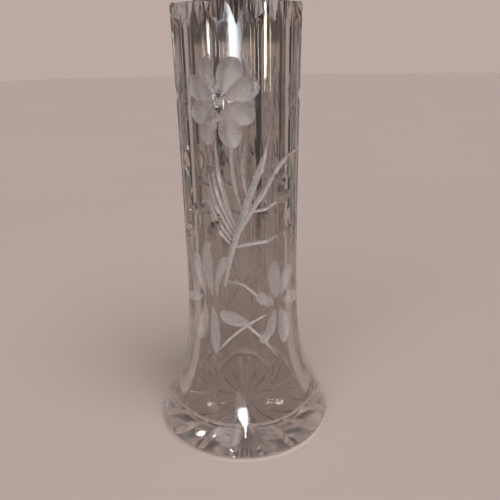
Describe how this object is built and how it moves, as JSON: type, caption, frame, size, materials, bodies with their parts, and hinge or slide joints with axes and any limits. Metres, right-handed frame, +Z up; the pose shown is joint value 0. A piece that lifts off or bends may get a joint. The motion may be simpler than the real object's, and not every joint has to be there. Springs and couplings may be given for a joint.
{
  "type": "cut crystal vase",
  "caption": "tall panelled clear glass vase, slightly waisted, with a notched rim, engraved leaves and flowers, and a thick flared star-cut foot",
  "frame": {"origin": "centre of the flat underside of the foot, on the surface the vase stands on", "axes": "+Z up along the vase's axis; -Y through the middle of the front panel; +X to the right seen from the front"},
  "size_m": [0.112, 0.112, 0.254],
  "materials": {
    "body_crystal": "clear polished lead crystal with frosted copper-wheel engraving",
    "foot_crystal": "clear polished lead crystal, thick"
  },
  "bodies": {
    "root": {"vase_body": "body_crystal", "vase_foot": "foot_crystal"}
  },
  "joints": []
}
